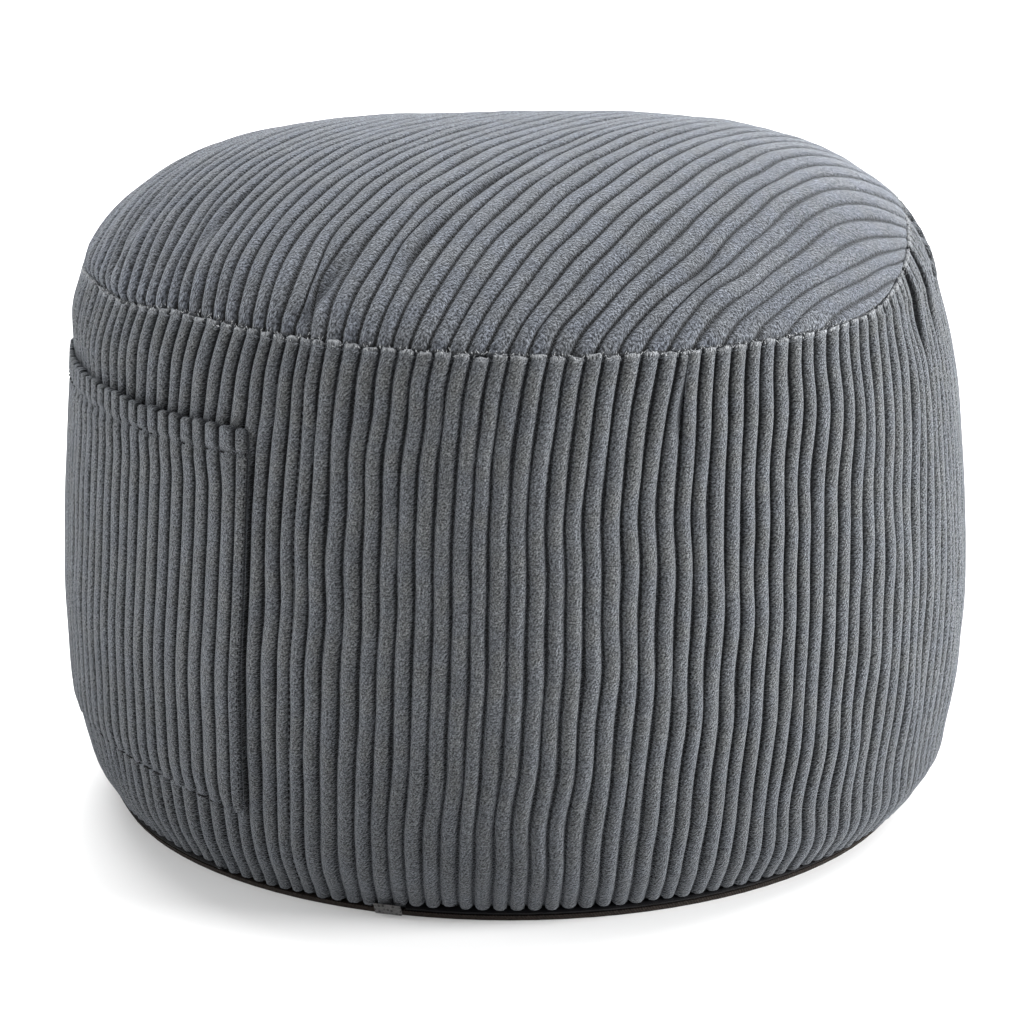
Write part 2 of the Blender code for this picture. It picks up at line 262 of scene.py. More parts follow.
# The hem sags towards the back: angle in degrees, drop
HEM_SAG = (
    (-126.0, 0.0120), (-98.0, 0.0095), (-88.0, 0.0062), (-80.0, 0.0046),
    (-72.0, 0.0034), (-64.0, 0.0028), (-46.0, 0.0022), (-38.0, 0.0012),
    (-33.6, 0.0004),
)
POCKET_BOTTOM = 0.0583
POCKET_CORNER_DROP = 0.0093
POCKET_CORNER_POWER = 8
POCKET_CLOTH = 0.0016
POCKET_WALE_DEPTH = 0.0022
HEM_HEIGHT = 0.0125
HEM_EXTRA = 0.0007
HEM_LINE_WIDTH = 0.003
HEM_GROOVE_DEPTH = 0.0021
HEM_GROOVE_REACH = 0.0014
HEM_CREST = 0.0008
# Rows over the hem's fold: shares of its distance out, of its crest and of the wale's height, which paints
# shade over the fold
HEM_FOLD_ROWS = ((0.85, 0.8, 0.9), (0.55, 1.0, 0.5), (0.25, 0.5, 0.1))
HEM_BEND = radians(0.75)    # how far the hem is pulled back round the body
HEM_BEND_REACH = 0.021
MOUTH_PARTED = 0.0008
PARTED_FROM = 0.125
POCKET_ROWS = 58
TWIST_TOP = 0.19            # up to this height its cloth turns with the side's
LOW_BEND = radians(0.45)
LOW_BEND_REACH = 0.014
POCKET_EDGE_CUT = radians(0.6)      # how much narrower its last wale is
POCKET_THINNER_FROM = radians(-66.0)
POCKET_THINNEST_AT = radians(-84.0)
PIECE_GAP = 0.0004

# Threads and loose fibres
STITCH_LENGTH = 0.0021
STITCH_GAP = 0.0014
THREAD_RADIUS = 0.00042
THREAD_SIDES = 6
# A thread's sections: share of its length, share of its radius, and by how many radii it dips in
THREAD_SECTIONS = ((0.0, 0.3, 1.8), (0.15, 1.0, 0.0), (0.85, 1.0, 0.0), (1.0, 0.3, 1.8))
# How far out from the side they lie; across wales, half their length as a share of the wale comes first
JOIN_THREAD_OUT = -0.0019
EDGE_THREAD_OUT = 0.0021
EDGE_THREAD_INSET = 0.0013
HEM_THREAD = (0.20, 0.0031)
LOW_THREAD = (0.38, 0.0014)
LOW_THREAD_DROP = 0.0016
FIBRES = 1300
FIBRE_LENGTH = 0.0016
FIBRE_RADIUS = 0.00016

# Pile: grains to a metre, how dark painted shade makes it at the foot and up to what height, how pale its
# cut ends are
SIDE_GRAIN = 1200.0
TOP_GRAIN = 1000.0
FOOT_SHADE = 0.60
FOOT_SHADE_HEIGHT = 0.15
FRAYED_PALER = 4.4
PILE = {
    "Roughness": 0.92,
    "Sheen Weight": 0.42,
    "Sheen Roughness": 0.45,
    "Sheen Tint": (0.80, 0.86, 0.95),
    "Specular IOR Level": 0.15,
}

# Colours, linear
TOP_GREY = (0.080, 0.085, 0.097)
SIDE_GREY = (0.083, 0.086, 0.090)
# Groove colours: the ground cloth, darkened with painted shade
TOP_GROOVE = (0.018, 0.018, 0.018)
SIDE_GROOVE = (0.0026, 0.0026, 0.0028)
BASE_BROWN = (0.022, 0.017, 0.014)
# Zip tape: black cloth, made darker still with painted shade under the wales' ends
ZIP_BLACK_AND_SHADE = (0.0012, 0.0013, 0.0022)
TAB_GREY = (0.090, 0.088, 0.088)
THREAD_BLACK = (0.005, 0.005, 0.006)
FIBRE_GREY = (0.300, 0.310, 0.320)
# The floor glows a little, which keeps it pale where the body shades it
FLOOR = {
    "Roughness": 0.9,
    "Base Color": (0.82, 0.82, 0.82),
    "Emission Color": (1.0, 1.0, 1.0),
    "Emission Strength": 0.16,
}
WORLD_STRENGTH = 0.50
# Lights: kind, name, place, power, and size in metres or, of a sun, its angle
LIGHTS = (
    ("SUN", "sky_soft", (0.5, 2.2, 2.4), 7.2, radians(80.0)),
    ("AREA", "right_soft", (2.4, -0.55, 1.0), 106.0, 1.2),
    ("AREA", "back_soft", (0.2, 2.5, 1.2), 30.0, 1.2),
    ("AREA", "left_soft", (-2.4, 0.0, 0.9), 28.0, 1.2),
)
LIGHT_TARGET = (0.0, 0.0, 0.18)

# Across one wale: the shares of its width at which the cloth has points, and the share its pile covers
WALE_STEPS = np.array([0.0, 0.055, 0.12, 0.28, 0.50, 0.72, 0.88, 0.945])
WALE_COVER = 0.89


def ripple(seed, *places, waves=5):
    """Smooth seeded unevenness between about -1 and 1, for places given in wavelengths."""
    chance = default_rng(seed)
    total = 0.0
    for _ in range(waves):
        turns = chance.normal(size=len(places))
        total = total + np.sin(tau * (sum(t * p for t, p in zip(turns, places)) + chance.random()))
    return total / np.sqrt(2.0 * waves)


def ease(value):
    """0 below 0, 1 above 1, and smooth between."""
    value = np.clip(value, 0.0, 1.0)
    return value * value * (3.0 - 2.0 * value)


def bell(value):
    return np.exp(-(value ** 2))


def fading(distance, reach):
    """1 where there is no distance, fading away past that."""
    return np.exp(-np.maximum(distance, 0.0) / reach)


def wrapped(angle):
    """The same angle within half a turn either way."""
    return (angle + pi) % tau - pi


def column(values):
    return np.array(values)[:, None]


def closer_at_ends(count, share):
    """A column of steps from 0 to 1, of which a share is drawn together at both ends."""
    linear = np.linspace(0.0, 1.0, count)
    return column(share * (1.0 - np.cos(pi * linear)) / 2.0 + (1.0 - share) * linear)


def each_wale(chance, number, spread):
    """A chance value for each wale, shared by all of its columns."""
    return (spread * chance.normal(size=number.max() + 1))[number]


def curve_through(table, places):
    """A smooth curve through a table's two columns, read at the places."""
    xs, ys = (np.array(values) for values in zip(*table))
    slopes = np.gradient(ys, xs)
    i = np.clip(np.searchsorted(xs, places) - 1, 0, len(xs) - 2)
    width = xs[i + 1] - xs[i]
    t = np.clip((places - xs[i]) / width, 0.0, 1.0)
    start = (1 + 2 * t) * (1 - t) ** 2 * ys[i] + t * (1 - t) ** 2 * width * slopes[i]
    return start + t * t * (3 - 2 * t) * ys[i + 1] + t * t * (t - 1) * width * slopes[i + 1]


def off_centre(share):
    """How far a share of the pitch lies from the wale's middle, 1 where its pile ends."""
    return np.abs(2.0 * share - 1.0) / WALE_COVER


def wale_rise(share, fullness):
    """Height of a wale's rounded section, 0 in the groove and 1 on its crown."""
    return np.clip(1.0 - off_centre(share) ** fullness, 0.0, 1.0) ** 0.55


def end_round(share):
    """Rounded end of a wale: 0 at its middle, 1 in the groove."""
    return 1.0 - (1.0 - np.clip(off_centre(share), 0.0, 1.0) ** 2.6) ** (1.0 / 2.6)


def ring_points(angles, radii, heights):
    """Points round the body's axis, with its slight tilt and lean."""
    tilt = SEAM_TILT * np.sin(angles) * (heights / SEAM_HEIGHT) ** 2
    foot = FOOT_SHIFT * np.maximum(0.0, 1.0 - heights / FOOT_SHIFT_REACH) ** 2
    over = np.clip((heights - SHOULDER_HEIGHT) / (SEAM_HEIGHT - SHOULDER_HEIGHT), 0.0, 1.0)
    x = radii * np.sin(angles) - foot - SEAM_SHIFT * over ** 2 + AXIS_SHIFT
    return np.stack([x, -radii * np.cos(angles), heights - tilt], axis=-1)


def side_radius(heights):
    return curve_through(SIDE_OUTLINE, heights)


def side_twist(angles, heights):
    levels, *columns = zip(*SIDE_TWIST)
    turn = 0.0
    for values, peak in zip(columns, np.eye(len(columns))):
        near = np.interp(np.degrees(angles), TWIST_ANGLES, peak, period=360)
        turn = turn + near * curve_through(zip(levels, values), heights)
    return np.radians(turn)


def read_round(table, angles):
    """Read a table of degrees round the body and values at the angles."""
    degrees, values = zip(*table)
    turned = (np.degrees(angles) + 180.0) % 360.0 - 180.0
    return np.interp(turned, degrees, values)


def shoulder_lean(points):
    leaning = points.copy()
    leaning[..., 0] -= SHOULDER_LEAN * bell((points[..., 2] - LEAN_HEIGHT) / LEAN_REACH)
    return leaning


def add_object(name, data):
    made = bpy.data.objects.new(name, data)
    bpy.context.scene.collection.objects.link(made)
    return made


def make_piece(name, points, faces, material, wale=None, cloth=None, frayed=None):
    """A smooth mesh that rides on the body, with the values its material reads at each point."""
    mesh = bpy.data.meshes.new(name)
    mesh.from_pydata(shoulder_lean(points).reshape(-1, 3).tolist(), [], faces)
    mesh.polygons.foreach_set("use_smooth", [True] * len(mesh.polygons))
    if frayed is None:
        frayed = np.zeros(points.shape[:-1])
    for label, kind, field, values in (
        ("wale", "FLOAT", "value", wale),
        ("frayed", "FLOAT", "value", frayed),
        ("cloth", "FLOAT_VECTOR", "vector", cloth),
    ):
        if values is not None:
            layer = mesh.attributes.new(label, kind, "POINT")
            layer.data.foreach_set(field, np.ascontiguousarray(values, dtype=np.float32).ravel())
    mesh.materials.append(material)
    mesh.validate()
    mesh.update()
    piece = add_object(name, mesh)
    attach(piece, "root")
    return piece


def grid_faces(rows, columns, closed):
    """Quads of a grid of points, row by row, whose last column joins the first where closed."""
    last = columns if closed else columns - 1
    i, j = np.meshgrid(np.arange(rows - 1), np.arange(last), indexing="ij")
    k = (j + 1) % columns
    corners = [i * columns + j, i * columns + k, (i + 1) * columns + k, (i + 1) * columns + j]
    return np.stack(corners, axis=-1).reshape(-1, 4).tolist()


def outline_face(rows, columns):
    """One face that closes a grid of points along its whole outline."""
    rim = list(range(columns)) + [i * columns + columns - 1 for i in range(1, rows)]
    rim += [(rows - 1) * columns + j for j in range(columns - 2, -1, -1)]
    rim += [i * columns for i in range(rows - 2, 0, -1)]
    return rim[::-1]


def flat_cloth(across, along):
    across, along = np.broadcast_arrays(across, along)
    return np.stack([across, along, np.zeros_like(across)], axis=-1)


def wale_grid(edges):
    """The columns of wales between the given grooves: place, share of its wale, and its wale's number."""
    place = (edges[:-1, None] + WALE_STEPS * np.diff(edges)[:, None]).ravel()
    share = np.tile(WALE_STEPS, len(edges) - 1)
    number = np.repeat(np.arange(len(edges) - 1), len(WALE_STEPS))
    return place, share, number


def side_grooves():
    """Angles of the side's grooves, once round from the join seam; the wales beside it are narrower."""
    shares = np.array([JOIN_WALE_SHARE] + [1.0] * (SIDE_WALES - 2) + [JOIN_WALE_SHARE])
    shares[1:-1] += SIDE_WALE_SPREAD * default_rng(11).normal(size=SIDE_WALES - 2)
    return JOIN_ANGLE + tau * np.concatenate([[0.0], np.cumsum(shares / shares.sum())])


def beside_zip(angles):
    return (angles - ZIP_START) % tau < ZIP_END - ZIP_START


def pleat_shift(angles, heights):
    """How far the wales left of the pleat are drawn into it."""
    before = wrapped(PLEAT_ANGLE - angles)
    strength = ease((heights - PLEAT_LOW) / (SEAM_HEIGHT - PLEAT_LOW))
    return PLEAT_SHARE * SIDE_PITCH * (before > 0.0) * fading(before, PLEAT_REACH) * strength


def pleat_tuck(angles, heights):
    """How deep the cloth that the pleat swallows lies under the wale to its right."""
    before = wrapped(PLEAT_ANGLE - angles)
    under = ease(1.25 - before / (PLEAT_SHARE * SIDE_PITCH)) * (before > 0.0)
    strength = ease((heights - PLEAT_LOW) / (0.5 * (SEAM_HEIGHT - PLEAT_LOW)))
    return PLEAT_TUCK * under * strength


def side_fold(angles, travel):
    """Depth and painted shade of the fold at a place's height or, past the rim, its way up the cloth."""
    top = SEAM_HEIGHT + FOLD_INSET
    down = np.clip((top - travel) / (top - FOLD_LOW_HEIGHT), 0.0, 1.0)
    line = FOLD_TOP + (FOLD_LOW - FOLD_TOP) * down
    beside = wrapped(angles - line) * SEAM_RADIUS
    past = ease(beside / FOLD_WIDTH + 0.5) * fading(beside, FOLD_REACH)
    before = ease(0.5 - beside / FOLD_WIDTH) * fading(-beside, FOLD_REACH)
    strength = (1.0 - ease(2.0 * down - 1.0)) * (travel < top + 0.001)
    dark = bell(beside / FOLD_WIDTH + 0.3) * strength
    return (FOLD_DEPTH * before - FOLD_OVERLAP * past) * strength, dark


def deep_grooves(place, travel, grooves):
    """How far the cloth left of a folded groove lies under the cloth right of it, which overlaps it."""
    total = 0.0
    for angle, low, depth in DEEP_GROOVES:
        beside = (place - grooves[np.argmin(np.abs(grooves - angle))]) * SEAM_RADIUS
        strength = ease((travel - low) / (0.8 * (SEAM_HEIGHT - low)))
        before = (beside <= 0.0) * fading(-beside, FOLD_REACH)
        past = (beside > 0.0) * fading(beside, FOLD_REACH)
        total = total + (depth * before - FOLD_OVERLAP * past) * strength
    return total


def side_fullness(angles, heights):
    """How much fuller the side is, at the right of its foot and the left of its shoulder."""
    right = ease((np.sin(angles) - 0.3) / 0.6)
    left = ease((-np.sin(angles) - 0.8) / 0.15)
    foot = FOOT_FULLNESS * right * bell((heights - FOOT_FULLEST) / FOOT_REACH)
    return foot + SHOULDER_FULLNESS * left * bell((heights - SHOULDER_FULLEST) / SHOULDER_REACH)


def pocket_edge_pull(place, angles, heights):
    """How far the side is drawn in along the pocket's front edge."""
    edge = POCKET_FRONT + side_twist(place, np.minimum(heights, TWIST_TOP))
    beside = wrapped(angles - (edge + EDGE_ASIDE / BODY_RADIUS)) * BODY_RADIUS
    along = ease((heights - POCKET_BOTTOM + POCKET_CORNER_DROP) / 0.004)
    along *= ease((POCKET_TOP - heights) / 0.004)
    along *= 0.4 + 0.6 * ease((heights - 0.200) / 0.030)
    return POCKET_EDGE_PULL * bell(beside / POCKET_EDGE_REACH) * along


def above_rim(angles, radii):
    """How much higher the top's surface is at these radii than at its rim."""
    inner = crown_heights(radii * np.sin(angles), -radii * np.cos(angles))
    return inner - crown_heights(SEAM_RADIUS * np.sin(angles), -SEAM_RADIUS * np.cos(angles))


def foot_rows(angles, radii, ends):
    """Rows of points from the side's flat underside up to the ends of its wales."""
    inset, below = (column(part) for part in zip(*FOOT_TUCK))
    height = np.maximum(ends - below, FOOT_HEIGHT + 0.0002)
    tuck = ring_points(angles + np.zeros_like(height), radii - inset, height)[::-1]
    under = ring_points(angles, (radii - inset)[-1], np.full_like(angles, FOOT_HEIGHT))
    return np.concatenate([under[None], tuck])


def seam_rows(edge, angles):
    """Rows of points that tuck the side's cut edge into the seam."""
    outward = np.array([np.sin(angles), -np.cos(angles), np.zeros_like(angles)]).T
    return edge + np.stack([[0.0, 0.0, up] - inset * outward for inset, up in SEAM_TUCK])


def frayed_ends(points, chance):
    """How much cut pile each point of the side shows: loose ends of uneven length at the seam."""
    first, last = len(FOOT_TUCK) + 1, -len(SEAM_TUCK)
    frayed = np.zeros(points.shape[:2])
    frayed[last:-1] = 1.0
    frayed[last - 1] = 0.9
    to_edge = points[last - 1, :, 2] - points[first:last, :, 2]
    length = np.clip(0.0011 + 0.0004 * chance.normal(size=points.shape[1]), 0.0004, 0.0020)
    frayed[first:last] = np.maximum(frayed[first:last], bell(to_edge / length))
    return frayed


def build_side_panel(material):
    """The filled side: upright wales with rounded ends at the foot and cut, frayed ends at the seam."""
    grooves = side_grooves()
    place, share, number = wale_grid(grooves)
    chance = default_rng(3)
    end = np.where(beside_zip(place), ZIPPED_WALE_END, SEWN_WALE_END)
    end = end + each_wale(chance, number, WALE_END_SPREAD) + WALE_END_ROUND * end_round(share)
    seam = SEAM_HEIGHT - read_round(SEAM_DROP, place + side_twist(place, SEAM_HEIGHT))
    height = end + (seam - end) * closer_at_ends(SIDE_ROWS, 0.55)

    rise = wale_rise(share, 2.2 + each_wale(chance, number, 0.2)) + np.zeros_like(height)
    rise = np.maximum(rise, JOIN_RISE * bell(wrapped(place - JOIN_ANGLE) * BODY_RADIUS / JOIN_REACH))
    plump = np.clip(1.0 + SIDE_PLUMPNESS * ripple(21, number * 0.37, height / 0.09), 0.75, 1.25)
    middle = ease(height / 0.04) * ease((SEAM_HEIGHT - height) / 0.03)
    wander = SIDE_WANDER * ripple(22, number * 0.06, height / 0.07)
    narrow = SIDE_NARROWING * ripple(24, number * 0.5, height / 0.05)
    sag = SIDE_SAG * ripple(23, np.sin(place) * 1.9, np.cos(place) * 1.9, height / 0.16)
    angle = place + side_twist(place, height) + (wander + narrow) * middle + pleat_shift(place, height)
    folded, fold_dark = side_fold(angle, height)
    folded = folded + deep_grooves(place, height, grooves)
    tucked = pleat_tuck(place, height)
    radius = side_radius(height) + sag * middle - SIDE_WALE_DEPTH * (1.0 - rise * plump)
    radius += side_fullness(angle, height) - folded - pocket_edge_pull(place, angle, height) - tucked
    main = ring_points(angle, radius, height)

    steps = column(np.linspace(0.0, 1.0, INSET_ROWS + 1)[1:])
    over_angle = angle[-1] + np.zeros_like(steps)
    inset = read_round(SEAM_INSET, over_angle)
    over_radius = side_radius(seam) - (inset + CREST_INSET) * steps
    uneven = each_wale(chance, number, WALE_END_SPREAD) + 0.0003 * chance.normal(size=len(number))
    uneven -= 0.0008 * end_round(share) ** 2
    folded, over_dark = side_fold(over_angle, SEAM_HEIGHT + inset * steps)
    folded = folded + deep_grooves(place, SEAM_HEIGHT, grooves) * (1.0 - 0.6 * steps)
    sunk = SIDE_WALE_DEPTH * (1.0 - rise[-1]) * (1.0 - 0.45 * steps) + folded + tucked[-1]
    over_height = seam + (CREST_RISE + uneven) * steps
    over = ring_points(over_angle, over_radius - 0.75 * sunk, over_height - 0.5 * sunk)
    over[..., 2] += above_rim(over_angle, over_radius)

    foot = foot_rows(angle[0], radius[0], end)
    tuck = seam_rows(over[-1], angle[-1])
    points = np.concatenate([foot, main, over, tuck])
    rows, columns = points.shape[:2]
    # Painted shade: darker along the fold and under the pleat, and on the rows tucked in at the foot and
    # seam
    pleat_shade_factor = 1.0 - FOLD_SHADE * tucked / PLEAT_TUCK
    rises = np.concatenate([
        rise[0] * column(FOOT_LIT),
        rise * (1.0 - FOLD_SHADE * fold_dark) * pleat_shade_factor,
        rise[-1] * (1.0 - FOLD_SHADE * over_dark) * pleat_shade_factor[-1],
        rise[-1] * column(SEAM_LIT),
    ])
    travel = np.concatenate([
        height[:1] - 0.003 * np.ones((len(foot), 1)),
        height,
        SEAM_HEIGHT + (SEAM_RADIUS - over_radius) + 0.001,
        np.full((len(tuck), columns), SEAM_HEIGHT + 0.02),
    ])
    cloth = flat_cloth(place * SIDE_FLAT_RADIUS, travel)
    faces = grid_faces(rows, columns, closed=True)
    faces.append(list(range(columns))[::-1])
    faces.append([(rows - 1) * columns + j for j in range(columns)])
    frayed = frayed_ends(points, chance)
    piece = make_piece("side_corduroy", points, faces, material, rises, cloth, frayed)
    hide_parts("side_panel")


def crown_heights(x, y):
    """Height of the top's surface over the ground, at places from the body's axis."""
    side, back = x / SEAM_RADIUS, y / SEAM_RADIUS
    share = np.minimum(np.sqrt(side ** 2 + back ** 2), 1.0)
    fullness = 1.0 + CROWN_SIDES * side ** 2 + CROWN_ENDS * back ** 2
    fullness += CROWN_RIGHT * side - CROWN_FRONT * back
    edge_power = CROWN_EDGE_POWER * (1.0 - CROWN_BACK_EDGE * np.maximum(back, 0.0) ** 2)
    dome = CROWN_RISE * fullness * (1.0 - share ** CROWN_POWER) ** edge_power
    inside = (1.0 - share) * SEAM_RADIUS / BULGE_REACH
    dome = dome + read_round(RIM_BULGE, np.arctan2(x, -y)) * inside * np.exp(1.0 - inside)
    for dent_x, dent_y, reach_along, reach_across, depth in TOP_DENTS:
        along, across = along_wale(x - dent_x, y - dent_y)
        near = bell(along / reach_along) * bell(across / reach_across)
        dome = dome - depth * near * (1.0 - share ** RIM_POWER)
    return SEAM_HEIGHT + RIM_RISE * share ** RIM_POWER - SEAM_TILT * side + dome


def along_wale(x, y):
    """Turn a plan position into its parts along and across the top's wales, or such parts back into it."""
    along = x * sin(TOP_WALE_ANGLE) + y * cos(TOP_WALE_ANGLE)
    across = x * cos(TOP_WALE_ANGLE) - y * sin(TOP_WALE_ANGLE)
    return along, across


def crown_points(along, across, sink):
    """Points of the top, sunk so far below its surface, square to it."""
    x, y = along_wale(along, across)
    outer = np.hypot(x, y)
    inward = SLOPE_LIMIT * SEAM_RADIUS / np.maximum(outer, SLOPE_LIMIT * SEAM_RADIUS)
    near_x, near_y = x * inward, y * inward
    slope_x = crown_heights(near_x + SLOPE_STEP, near_y) - crown_heights(near_x - SLOPE_STEP, near_y)
    slope_y = crown_heights(near_x, near_y + SLOPE_STEP) - crown_heights(near_x, near_y - SLOPE_STEP)
    normal = np.stack([-slope_x, -slope_y, np.full_like(slope_x, 2 * SLOPE_STEP)], axis=-1)
    normal /= np.linalg.norm(normal, axis=-1, keepdims=True)
    beyond = np.maximum(outer - SEAM_RADIUS, 0.0)
    drawn = np.where(beyond > 0.0, side_radius(SEAM_HEIGHT - beyond) / outer, 1.0)
    level = crown_heights(x, y) - PAST_RIM_FALL * beyond
    points = np.stack([x * drawn - SEAM_SHIFT + AXIS_SHIFT, y * drawn, level], axis=-1)
    return points - sink[..., None] * normal


def rim_line():
    """Points of the top's rim, once round, along and across its wales."""
    turns = np.linspace(0.0, tau, RIM_POINTS + 1)
    radii = SEAM_RADIUS - TOP_EDGE_INSET - read_round(SEAM_INSET, turns) + read_round(SEAM_DROP, turns)
    return along_wale(radii * np.sin(turns), -radii * np.cos(turns))


def top_edge(places):
    """Where wales at these places across the top start and end along it, at the seam."""
    along, across = rim_line()
    right, left = np.argmax(across), np.argmin(across)
    front_turns = np.arange(left, right + 1 + (RIM_POINTS if right < left else 0)) % RIM_POINTS
    back_turns = np.arange(right, left + 1 + (RIM_POINTS if left < right else 0)) % RIM_POINTS
    front = np.interp(places, across[front_turns], along[front_turns])
    back = np.interp(places, across[back_turns][::-1], along[back_turns][::-1])
    return front, back


def cut_to_rim(place, share, number):
    """Leave out the top's columns beyond its rim, and move the first ones past it onto it."""
    _, across = rim_line()
    low, high = across.min() + RIM_MARGIN, across.max() - RIM_MARGIN
    kept = slice(np.searchsorted(place, low) - 1, np.searchsorted(place, high) + 1)
    return np.clip(place, low, high)[kept], share[kept], number[kept]


def pinches(along, across, width):
    """Each place where grooves of the top run together: pull, distance beside it and strength."""
    for x, y, reach_along, reach_across, pull in TOP_PINCHES:
        pinch_along, pinch_across = along_wale(x, y)
        beside = across - pinch_across
        near = bell(beside / (width * reach_across)) * bell((along - pinch_along) / reach_along)
        yield pull, beside, near


def pinch_shift(along, across):
    """How far a place on the top is drawn sideways by the pinches."""
    return -sum(pull * beside * near for pull, beside, near in pinches(along, across, 1.0))


def pinch_depth(along, across):
    """How deep the grooves in the middle of the pinches are."""
    return sum(PINCH_DEPTH * pull * near for pull, _, near in pinches(along, across, PINCH_WIDTH))


def bow(along, front, back, place):
    """How far the wales bow sideways near their front ends."""
    left = ease((0.13 - place) / 0.13) * ease((place + SEAM_RADIUS) / 0.06)
    right = ease((place - 0.09) / 0.06) * ease((SEAM_RADIUS - place) / 0.03)
    total = 0.0
    wide = BOW_LEFT * left + BOW_RIGHT * right
    for size, reach in ((wide, BOW_REACH), (BOW_EDGE * right, BOW_EDGE_REACH)):
        share = (along - front) / reach
        total = total + size * share * np.exp(1.0 - share)
    return total * ease((back - along) / 0.06)


def turned_ends(place):
    """Where across the top the wales end at the back: those at the right are turned to the front."""
    return place + END_TURN * ease((place - 0.09) / 0.07) * ease((SEAM_RADIUS - place) / 0.055)


def tucked_into_seam(points):
    """The top's points, with two more rows past each end of its wales, drawn in and down."""
    centre = np.array([AXIS_SHIFT - SEAM_SHIFT, 0.0, 0.0])
    ends = points[0] - centre, points[-1] - centre
    for inset, drop in TOP_TUCK:
        scale = (SEAM_RADIUS - inset) / SEAM_RADIUS
        first, last = (end * [scale, scale, 1.0] + centre - [0.0, 0.0, drop] for end in ends)
        points = np.concatenate([[first], points, [last]])
    return points


def build_top_panel(material):
    """The filled top: slanting wales over the dome, tucked into the seam all round."""
    reach = int(SEAM_RADIUS / TOP_WALE_PITCH) + 2
    edges = TOP_WALE_OFFSET + TOP_WALE_PITCH * np.arange(-reach, reach + 1)
    edges += TOP_PITCH_SPREAD * default_rng(6).normal(size=len(edges))
    place, share, number = cut_to_rim(*wale_grid(edges))
    ends = turned_ends(place)
    front, _ = top_edge(place)
    _, back = top_edge(ends)
    along = front + (back - front) * closer_at_ends(TOP_ROWS, 1.0)
    to_edge = np.minimum(along - front, back - along)
    middle = ease(to_edge / 0.012)
    wander = TOP_WANDER * ripple(31, number * 0.07, along / 0.09)
    narrow = TOP_NARROWING * ripple(34, number * 0.5, along / 0.05)
    across = place + middle * (wander + narrow + pinch_shift(along, place)) + bow(along, front, back, place)
    across += (ends - place) * bell((back - along) / END_TURN_REACH)

    to_right, _ = along_wale(along, place)
    tight = ease((to_right - 0.02) / 0.16)
    loose = ease((-to_right - 0.10) / 0.10)
    rise = wale_rise(share, 3.2 + each_wale(default_rng(5), number, 0.3)) + np.zeros_like(along)
    plump = np.clip(1.0 + TOP_PLUMPNESS * ripple(32, number * 0.31, along / 0.08), 0.7, 1.3)
    depth = TOP_WALE_DEPTH * (1.0 - 0.45 * tight + 0.45 * loose)
    deeper = pinch_depth(along, across) * ease(to_edge / 0.006)
    sink = depth * (1.0 - rise * plump) + deeper + TOP_EDGE_DIVE * bell(to_edge / TOP_EDGE_ROUND)
    points = crown_points(along, across, sink)
    points[..., 2] += TOP_SAG * middle * ripple(33, along / 0.11, across / 0.09)
    points = tucked_into_seam(points)

    rows, columns = points.shape[:2]
    outer = np.zeros((1, columns))
    # Painted shade: grooves paler where the cloth is stretched at the right, darker in the pinches and near
    # the wales' ends, and the tucked rows dark
    shown = (rise + (0.08 + 0.14 * tight) * (1.0 - rise)) * np.exp(-160.0 * deeper)
    shown = shown * ease(0.35 + to_edge / 0.002)
    rises = np.concatenate([outer, 0.3 * rise[:1], shown, 0.3 * rise[-1:], outer])
    cloth = flat_cloth(place, np.concatenate([along[:1], along[:1], along, along[-1:], along[-1:]]))
    faces = grid_faces(rows, columns, closed=False) + [outline_face(rows, columns)]
    piece = make_piece("top_corduroy", points, faces, material, rises, cloth)
    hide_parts("top_panel")


def pocket_bottom(angles):
    share = (angles - POCKET_BACK) / (POCKET_FRONT - POCKET_BACK)
    return POCKET_BOTTOM - POCKET_CORNER_DROP * np.clip(share, 0.0, 1.0) ** POCKET_CORNER_POWER


def pocket_place(angles, heights):
    """Angles of the pocket's cloth, pulled back at its hem and bent forward at its low edge."""
    from_front = ease((POCKET_FRONT - angles) / radians(5.0))
    hem_pull = HEM_BEND * ease((heights - (POCKET_TOP - HEM_HEIGHT - HEM_BEND_REACH)) / HEM_BEND_REACH)
    low_bend = LOW_BEND * ease(1.0 - (heights - pocket_bottom(angles)) / LOW_BEND_REACH)
    turned = side_twist(angles, np.minimum(heights, TWIST_TOP))
    return angles + (low_bend - hem_pull) * from_front + turned


def hem_top(angles):
    return POCKET_TOP - read_round(HEM_SAG, angles)


def mouth_parting(angles, heights):
    """How far the pocket stands off the side towards its mouth."""
    across = np.sin(pi * (angles - POCKET_FRONT) / (POCKET_BACK - POCKET_FRONT))
    rise = np.maximum(0.0, heights - PARTED_FROM) / (POCKET_TOP - PARTED_FROM)
    return MOUTH_PARTED * across * rise ** 2


def pocket_wales():
    """The pocket's columns as in wale_grid, with one more on its front edge."""
    edges = np.linspace(POCKET_BACK, POCKET_FRONT + POCKET_EDGE_CUT, POCKET_WALES + 1)
    edges[-1] = POCKET_FRONT
    place, share, number = wale_grid(edges)
    return np.append(place, edges[-1]), np.append(share, 0.0), np.append(number, POCKET_WALES - 1)


